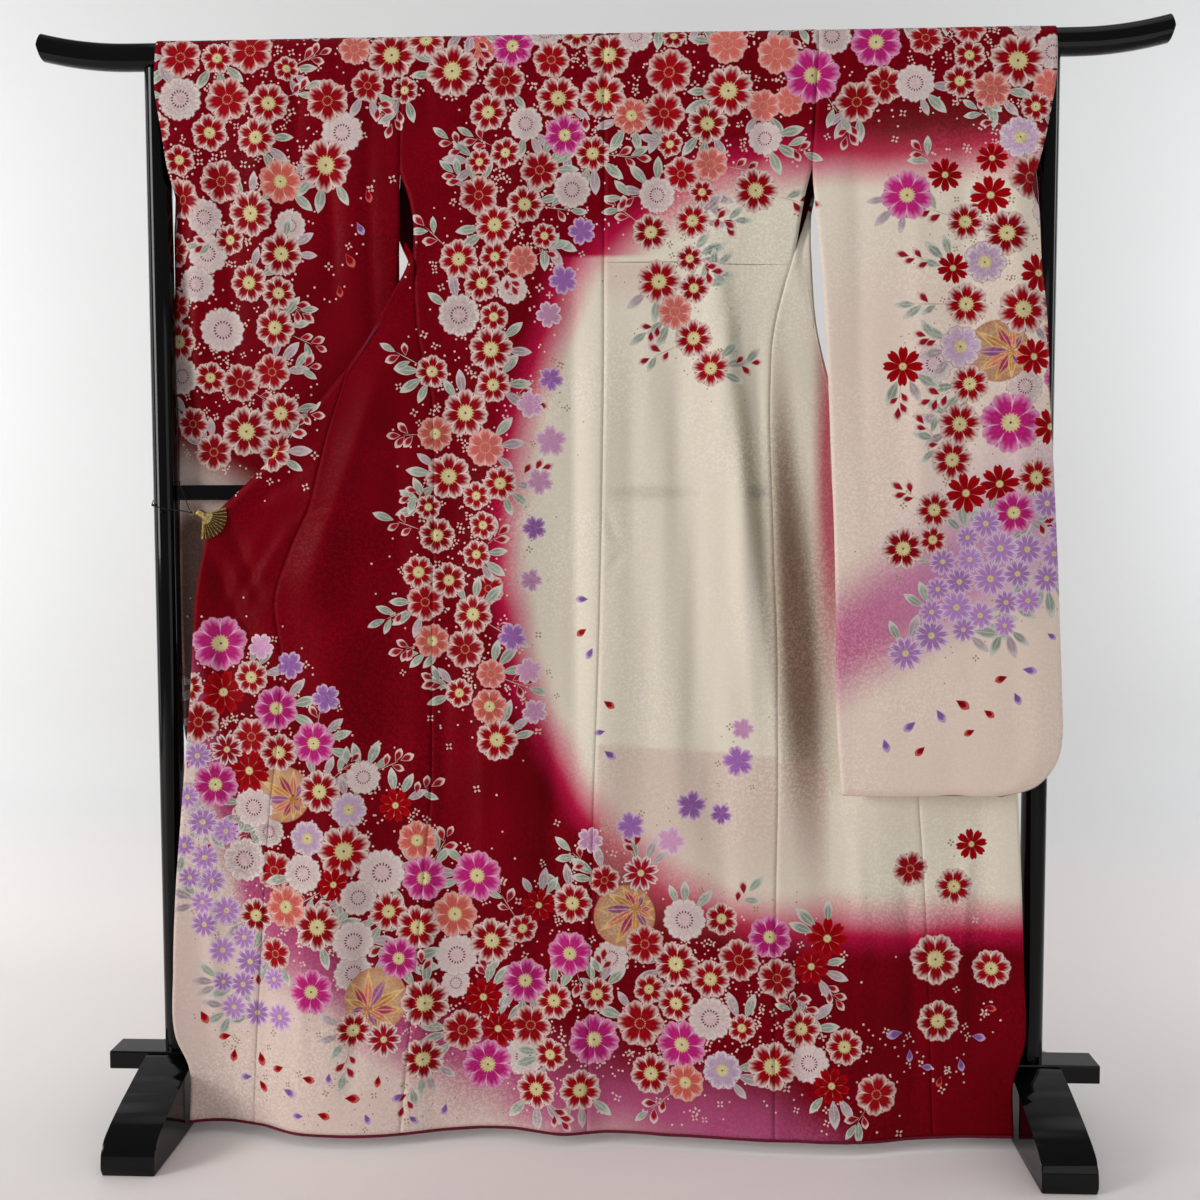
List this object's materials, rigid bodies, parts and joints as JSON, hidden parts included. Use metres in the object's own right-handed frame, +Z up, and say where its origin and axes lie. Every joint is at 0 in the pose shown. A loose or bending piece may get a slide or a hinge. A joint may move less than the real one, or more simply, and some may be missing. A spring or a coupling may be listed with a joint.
{
  "type": "furisode kimono hung on a kimono stand",
  "caption": "Long-sleeved furisode kimono of printed silk, hung with its back to the viewer on a black lacquered kimono stand, its fronts spread, one held by a fan clip.",
  "frame": {"origin": "on the floor, half way between the posts and half way along the feet", "axes": "+X to the right as the kimono's back is seen, +Y away from the viewer, +Z up"},
  "size_m": [1.676, 0.402, 1.662],
  "materials": {
    "silk_printed": "satin damask",
    "silk_lining": "plain silk",
    "lacquer_black": "gloss black lacquer",
    "clip_gold": "polished gold plate",
    "thread_black": "covered elastic"
  },
  "bodies": {
    "root": {"back_left": "silk_printed", "back_right": "silk_printed", "base_beam": "lacquer_black", "clip_fan": "clip_gold", "clip_jaw": "clip_gold", "clip_ring": "clip_gold", "clip_thread": "thread_black", "collar_left": "silk_printed", "collar_right": "silk_printed", "crossbar": "lacquer_black", "foot_left": "lacquer_black", "foot_right": "lacquer_black", "front_left": "silk_printed", "front_right": "silk_printed", "hem_roll": "silk_lining", "okumi_left": "silk_printed", "okumi_right": "silk_printed", "over_collar": "silk_printed", "post_left": "lacquer_black", "post_right": "lacquer_black", "sleeve_left": "silk_printed", "sleeve_right": "silk_printed", "top_bar": "lacquer_black"}
  },
  "joints": []
}
